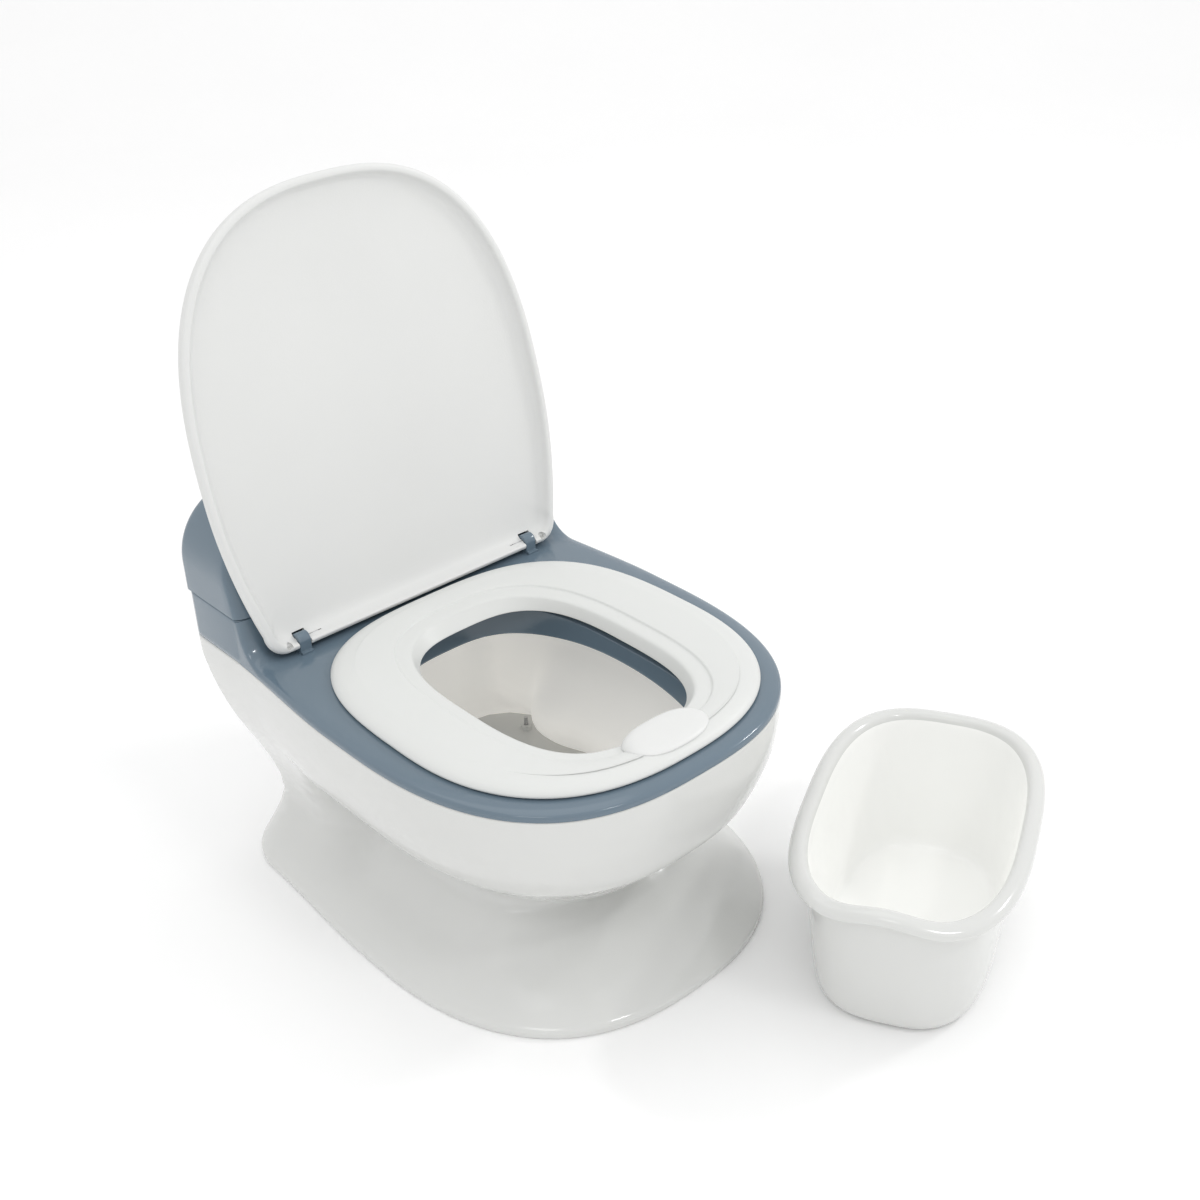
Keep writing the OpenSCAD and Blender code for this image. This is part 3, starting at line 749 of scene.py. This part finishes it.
def seat_hole(d):
    """Outline of the seat's hole at the top, opened out by d."""
    return oval(70 + d, -154 - d, -55, 44.5 + d, 3, 2.8)


def seat_lip(d):
    """Outline of the hole at the lip under the seat, opened out by d."""
    return oval(66.5 + d, -148 - d, -55, 36.5 + d, 3.1, 3)


def between(a, b, f):
    """Ring a share f of the way from a to b."""
    return a * (1 - f) + b * f


def seat_ring():
    """Thin ring: rounded outer edge, gentle crown, a step round the hole and a lip into the well."""
    step = seat_hole(10.5)
    crown = between(step, seat_outer(0), 0.60)
    outer_edge = [
        at_z(seat_outer(1.0), SEAT_LOW), at_z(seat_outer(0), SEAT_LOW + 1.2),
        at_z(seat_outer(0.2), SEAT_LOW + 2.6), at_z(seat_outer(2.4), SEAT_LOW + 5.0),
        at_z(seat_outer(7), SEAT_LOW + 7.0), at_z(seat_outer(14), SEAT_CROWN - 0.3)]
    top = [
        at_z(crown, SEAT_CROWN), at_z(between(step, crown, 0.45), SEAT_CROWN - 0.7),
        at_z(seat_hole(12.2), SEAT_CROWN - 1.9), at_z(seat_hole(11.0), SEAT_CROWN - 2.3),
        at_z(seat_hole(10.4), SEAT_CROWN - 3.4), at_z(seat_hole(9.6), SEAT_CROWN - 3.7),
        at_z(seat_hole(4), SEAT_CROWN - 4.2), at_z(seat_hole(0.8), SEAT_CROWN - 4.9),
        at_z(seat_hole(-0.6), SEAT_CROWN - 6.6)]
    lip = [
        at_z(seat_lip(0), ring_low[2] + 0.8), at_z(seat_lip(0.2), ring_low[2]),
        at_z(seat_lip(2), ring_low[2])]
    underside = [
        at_z(seat_hole(1.6), SEAT_CROWN - 9), at_z(seat_hole(11), SEAT_CROWN - 7.2),
        at_z(seat_hole(12.6), SEAT_CROWN - 5.4), at_z(crown, SEAT_CROWN - 2.6),
        at_z(seat_outer(9), SEAT_CROWN - 3.6), at_z(seat_outer(4.6), SEAT_LOW + 2),
        at_z(seat_outer(3), SEAT_LOW)]
    rings = outer_edge + top + lip + underside
    mesh = grid_mesh("seat_ring", soften(rings, 3, closed=True), loop=True)
    o = piece("seat_top", mesh, "seat", [white_satin], "seat_ring")
    return o


GUARD_Y = -165


def splash_guard():
    """Raised hood over the front of the hole, which sinks into the seat ring all round."""
    def hood(share, lift):
        ring = oval(31.5 * share, GUARD_Y - 18.5 * share, GUARD_Y, GUARD_Y + 17 * share, 2.4, 2.5)
        sunk = np.interp(ring[:, 1], [-184, -176, -166, -160, -150], [-2.2, -1.2, -2.6, -4.6, -6.4])
        top = 2.2 - 0.9 * ((ring[:, 1] - GUARD_Y) / 17) ** 2
        return at_z(ring, SEAT_CROWN + sunk * (1 - lift) + top * lift)

    rings = soften([hood(0.90, -0.3), hood(0.98, -0.05), hood(1.0, 0.2), hood(0.98, 0.45), hood(0.90, 0.74),
                    hood(0.76, 0.92), hood(0.5, 1), hood(0.2, 1), hood(0.02, 1)])
    mesh = grid_mesh("splash_guard", rings, caps=(True, True))
    o = piece("guard", mesh, "guard", [white_soft], "splash_guard")
    return o


# ---------- pot ----------

HUMP = 6
HUMP_HALF = 42
POT_WALL = 2.2
POT_T = even_angles(1, 1.55, 2.95, 76)

# Distance drawn in, height and share of the wave, up the outside and down the inside
POT_ROWS = [
    (60, 1.0, 0), (33, 1.0, 0), (31.5, 0, 0), (25, 0, 0), (21.5, 1.2, 0), (19.4, 5.5, 0), (17.9, 13, 0),
    (15.8, POT_H * 0.33, 0), (13.6, POT_H * 0.58, 0), (11.6, POT_H - 18, 0.15), (10.5, POT_H - 9, 0.7),
    (10, POT_H - 6.2, 0.9), (8.4, POT_H - 5.6, 1), (4, POT_H - 6.6, 1), (1.4, POT_H - 7.6, 1),
    (0.2, POT_H - 7.2, 1), (0, POT_H - 5.2, 1), (0.8, POT_H - 2.8, 1), (3.4, POT_H - 0.8, 1),
    (6.8, POT_H, 1),
    (9.8, POT_H - 0.7, 1), (11.6, POT_H - 3.2, 1), (12.4, POT_H - 8, 0.7), (13.2, POT_H - 18, 0.15),
    (13.6 + POT_WALL, POT_H * 0.58, 0), (15.8 + POT_WALL, POT_H * 0.33, 0), (17.9 + POT_WALL, 14, 0),
    (19.6 + POT_WALL, 7.4, 0), (24, 3.4, 0), (29, 2.5, 0), (45, 2.4, 0), (60, 2.4, 0)]


def end_in(d):
    """How far the pot's two ends are drawn in where its sides are drawn in by d."""
    return d + 0.7 * max(d - 11, 0) if d < 40 else d * 1.55


def pot_ring(d, z, share):
    """Outline of the pot drawn in by d, with a share of the wave in its front end."""
    half, end = POT_HALF[0] - d, POT_HALF[1] - end_in(d)
    arc = quarter(half, end, 2.95, POT_T)
    ring = mirrored(np.vstack([arc * [1, -1], arc[-2::-1]]))
    across = np.clip(ring[:, 0] / HUMP_HALF, -1, 1)
    lift = np.where(ring[:, 1] < 0, share * HUMP * np.cos(np.pi / 2 * across) ** 2, 0)
    return at_z(ring, z + lift)


def pot():
    """Pot standing turned beside the chair."""
    rings = soften([pot_ring(*row) for row in POT_ROWS])
    c, s = math.cos(POT_TURN), math.sin(POT_TURN)
    turned = rings.copy()
    turned[:, :, 0] = c * rings[:, :, 0] - s * rings[:, :, 1] + POT_AT[0]
    turned[:, :, 1] = s * rings[:, :, 0] + c * rings[:, :, 1] + POT_AT[1]
    # Rows from here on take the inside material, with its painted light.
    inside = np.argmax(rings[:, :, 2].mean(axis=1)) + 18
    slots = (np.arange(len(rings) - 1) >= inside).astype(int)
    mesh = grid_mesh("pot", turned, caps=(True, True), slots=slots)
    o = piece("pot_bowl", mesh, "pot", [white_gloss, pot_inside_painted_light], "pot")
    return o


# ---------- small pieces carried over from the frame ----------

FINISHES = {
    "white_gloss": white_gloss, "white_satin": white_satin, "white_soft": white_soft,
    "grey_gloss": grey_gloss, "rubber": rubber, "steel": steel, "pale_plastic": pale_plastic,
    "battery_wrap": battery_wrap, "board_green": board_green, "speaker_black": speaker_black}
ROUNDED = {"hinge_post_left": 1.0, "hinge_post_right": 1.0, "flush_button": 0.3, "sound_box": 0.8,
           "battery_door": 0.4, "base_plate": 0.3, "grip_pads": 0.3, "seat_bumpers": 0.5}


def dress_nodes():
    """Gives every CAD node its finish, and rounds the edges of the small ones."""
    for part in frame["record"]["subparts"]:
        node = frame["nodes"][part["node"]]
        node.data.materials.clear()
        node.data.materials.append(FINISHES[part["material_slot"]])
        if part["node"] in ROUNDED:
            node.modifiers.new("weld", "WELD").merge_threshold = 1e-5
            bevel = node.modifiers.new("edges", "BEVEL")
            bevel.width = ROUNDED[part["node"]] * MM
            bevel.segments = 3
            bevel.limit_method = "ANGLE"
            bevel.angle_limit = math.radians(40)


# ---------- stage, lights and camera ----------


def stage_material():
    """Matt paper, very slightly clouded."""
    t = Nodes("stage")
    place = t.add("ShaderNodeTexCoord").outputs["Object"]
    t.link(t.toned(t.noise(place, 3, 3, 0.5), (0.97, 0.97, 0.97, 1), (1.0, 1.0, 1.0, 1)), "Base Color")
    t.set(Roughness=0.8, Specular_IOR_Level=0.2)
    return t.material


def floor():
    """Seamless pale sweep: a floor that curves up far behind the object."""
    t = np.linspace(0, math.pi / 2, 24)
    profile = [(-4.0, 0.0), (2.0, 0.0)]
    profile += [(2.0 + 1.5 * math.sin(a), 1.5 - 1.5 * math.cos(a)) for a in t]
    profile += [(3.5, 4.0)]
    verts = [(x, y, z) for y, z in profile for x in (-5.0, 5.0)]
    faces = [(2 * k, 2 * k + 1, 2 * k + 3, 2 * k + 2) for k in range(len(profile) - 1)]
    mesh = bpy.data.meshes.new("floor")
    mesh.from_pydata(verts, [], faces)
    mesh.shade_smooth()
    mesh.materials.append(stage_material())
    o = placed("floor", mesh)
    o.rotation_euler = (0, 0, -VIEW_AZIMUTH)


VIEW_AZIMUTH = math.radians(41.01)
VIEW_ELEVATION = math.radians(30.14)
VIEW_ROLL = math.radians(-2.15)
VIEW_DISTANCE = 1.2351
LOOK_AT = Vector((0.1311, 0.0420, 0.150))


def camera():
    """Camera that looks down on the chair from the front left, very slightly rolled."""
    ce, se = math.cos(VIEW_ELEVATION), math.sin(VIEW_ELEVATION)
    forward = Vector((math.sin(VIEW_AZIMUTH) * ce, math.cos(VIEW_AZIMUTH) * ce, -se))
    right = forward.cross(Vector((0, 0, 1))).normalized()
    up = right.cross(forward)
    c, s = math.cos(VIEW_ROLL), math.sin(VIEW_ROLL)
    right, up = c * right + s * up, c * up - s * right
    data = bpy.data.cameras.new("camera")
    data.lens = 48.87
    data.sensor_width = 36
    o = placed("camera", data)
    turn = Matrix((right, up, -forward)).transposed().to_4x4()
    o.matrix_world = Matrix.Translation(LOOK_AT - forward * VIEW_DISTANCE) @ turn
    bpy.context.scene.camera = o


def lamp(name, place, target, size, power):
    """Soft rectangular light that faces its target."""
    data = bpy.data.lights.new(name, "AREA")
    data.shape = "RECTANGLE"
    data.size, data.size_y = size
    data.energy = power
    o = placed(name, data)
    o.location = place
    o.rotation_euler = (Vector(target) - Vector(place)).to_track_quat("-Z", "Y").to_euler()


def lights():
    """White surroundings, with soft boxes for the highlights."""
    world = bpy.data.worlds.new("studio")
    world.use_nodes = True
    background = world.node_tree.nodes["Background"]
    background.inputs["Color"].default_value = (1, 1, 1, 1)
    background.inputs["Strength"].default_value = 0.92
    bpy.context.scene.world = world
    lamp("key", (-1.3, -0.9, 1.9), (0, 0, 0.15), (0.7, 0.5), 3)
    lamp("front", (0.1, -1.5, 1.9), (0, 0, 0.05), (0.35, 0.12), 3.5)
    lamp("fill", (1.6, -0.8, 1.4), (0, 0, 0.05), (0.35, 0.12), 6)
    lamp("top", (0.1, 0.3, 2.2), (0, 0, 0.1), (1.6, 1.6), 5)
    bpy.context.scene.view_settings.view_transform = "Standard"


# ---------- scene ----------

body_shell()
deck()
tank_cover()
lid()
seat_ring()
splash_guard()
pot()
dress_nodes()
floor()
camera()
lights()
